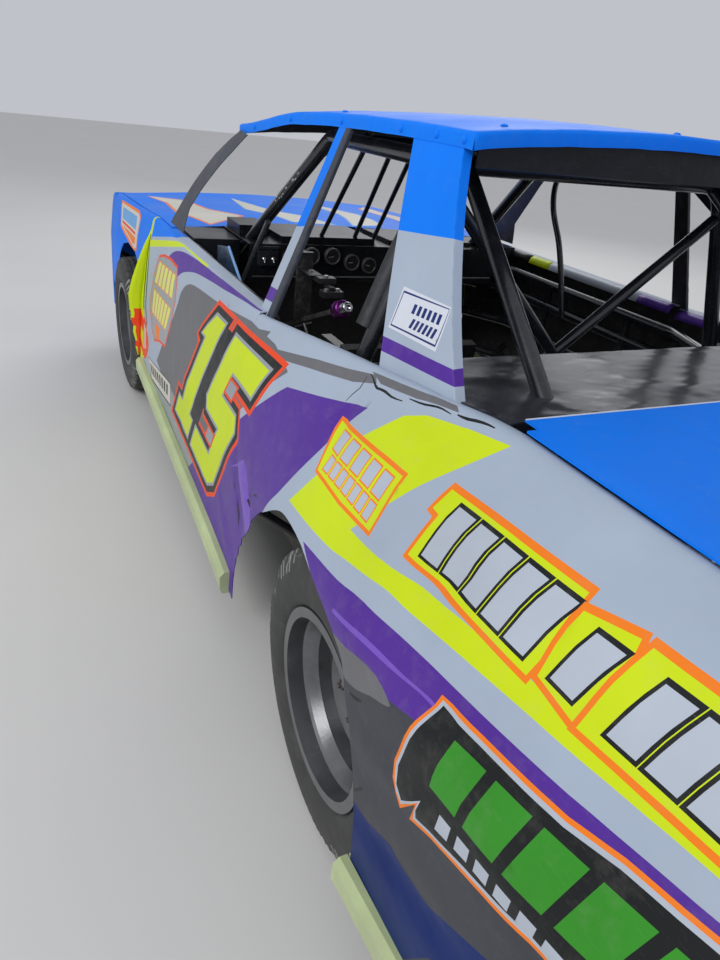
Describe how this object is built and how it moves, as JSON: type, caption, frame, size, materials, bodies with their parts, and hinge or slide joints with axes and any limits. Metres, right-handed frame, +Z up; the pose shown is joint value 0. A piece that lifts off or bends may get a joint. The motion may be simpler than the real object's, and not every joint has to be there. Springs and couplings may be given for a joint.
{
  "type": "dirt-track stock car",
  "caption": "Dirt-track stock car: box-rail frame, roll cage, flat sheet body with cut wheel openings, deep-dish wheels, steering knuckles and a hinged deck lid.",
  "frame": {"origin": "on the ground under the middle of the car's length and width", "axes": "+X forward, +Y to the car's left, +Z up"},
  "size_m": [5.01, 1.924, 1.456],
  "materials": {
    "painted_body": "semi-gloss paint",
    "blue_paint": "semi-gloss paint",
    "black_tin": "satin black paint",
    "black_tube": "gloss black paint",
    "bare_steel": "dull",
    "white_rim": "dusty paint",
    "rubber_tyre": "dusty rubber",
    "cast_block": "oily",
    "soft_plastic": "satin",
    "aluminium_core": "dull"
  },
  "bodies": {
    "chassis": {"frame_rails": "black_tube", "roll_cage": "black_tube", "door_bars_left": "black_tube", "door_bars_right": "black_tube", "rear_braces": "black_tube", "body_braces": "black_tube", "bumpers": "black_tube", "fender_left": "blue_paint", "fender_right": "blue_paint", "door_left": "painted_body", "door_right": "painted_body", "quarter_left": "painted_body", "quarter_right": "painted_body", "roof": "blue_paint", "sail_panels": "painted_body", "pillars": "black_tin", "hood": "blue_paint", "nose": "blue_paint", "skirts": "soft_plastic", "package_tray": "black_tin", "tail_panel": "painted_body", "floor_pan": "black_tin", "firewall": "black_tin", "dash": "black_tin", "steering_column": "black_tube", "seat": "black_tin", "engine_block": "cast_block", "rear_axle": "black_tube", "driveline": "bare_steel", "springs": "bare_steel", "fuel_cell": "black_tin", "radiator": "aluminium_core", "exhaust": "bare_steel", "rear_bulkhead": "black_tin", "front_arms": "black_tube"},
    "deck_lid": {"deck_lid": "blue_paint"},
    "knuckle_left": {"knuckle_left": "bare_steel"},
    "knuckle_right": {"knuckle_right": "bare_steel"},
    "steering_link": {"steering_link": "bare_steel"},
    "wheel_front_left": {"wheel_front_left": "white_rim", "tyre_front_left": "rubber_tyre"},
    "wheel_front_right": {"wheel_front_right": "white_rim", "tyre_front_right": "rubber_tyre"},
    "wheel_rear_left": {"wheel_rear_left": "white_rim", "tyre_rear_left": "rubber_tyre"},
    "wheel_rear_right": {"wheel_rear_right": "white_rim", "tyre_rear_right": "rubber_tyre"}
  },
  "joints": [
    {"name": "steer_left", "type": "hinge", "parent": "chassis", "child": "knuckle_left", "pos_m": [1.568, 0.686, 0.335], "axis": [0, 0, 1], "range_deg": [-28, 28]},
    {"name": "steer_right", "type": "hinge", "parent": "chassis", "child": "knuckle_right", "pos_m": [1.568, -0.686, 0.335], "axis": [0, 0, 1], "range_deg": [-28, 28]},
    {"name": "steering_link_slide", "type": "slide", "parent": "chassis", "child": "steering_link", "axis": [0, 1, 0], "range_m": [-0.06, 0.06]},
    {"name": "spin_front_left", "type": "hinge", "parent": "knuckle_left", "child": "wheel_front_left", "pos_m": [1.568, 0.75, 0.335], "axis": [0, 1, 0], "continuous": true},
    {"name": "spin_front_right", "type": "hinge", "parent": "knuckle_right", "child": "wheel_front_right", "pos_m": [1.568, -0.75, 0.335], "axis": [0, 1, 0], "continuous": true},
    {"name": "spin_rear_left", "type": "hinge", "parent": "chassis", "child": "wheel_rear_left", "pos_m": [-1.175, 0.75, 0.335], "axis": [0, 1, 0], "continuous": true},
    {"name": "spin_rear_right", "type": "hinge", "parent": "chassis", "child": "wheel_rear_right", "pos_m": [-1.175, -0.75, 0.335], "axis": [0, 1, 0], "continuous": true},
    {"name": "deck_lid_hinge", "type": "hinge", "parent": "chassis", "child": "deck_lid", "pos_m": [-1.287, 0, 0.988], "axis": [0, 1, 0], "range_deg": [0, 60]}
  ],
  "couplings": [
    {"joint": "steer_right", "follows": "steer_left", "ratio": 1},
    {"joint": "steering_link_slide", "follows": "steer_left", "m_per_rad": -0.12}
  ]
}
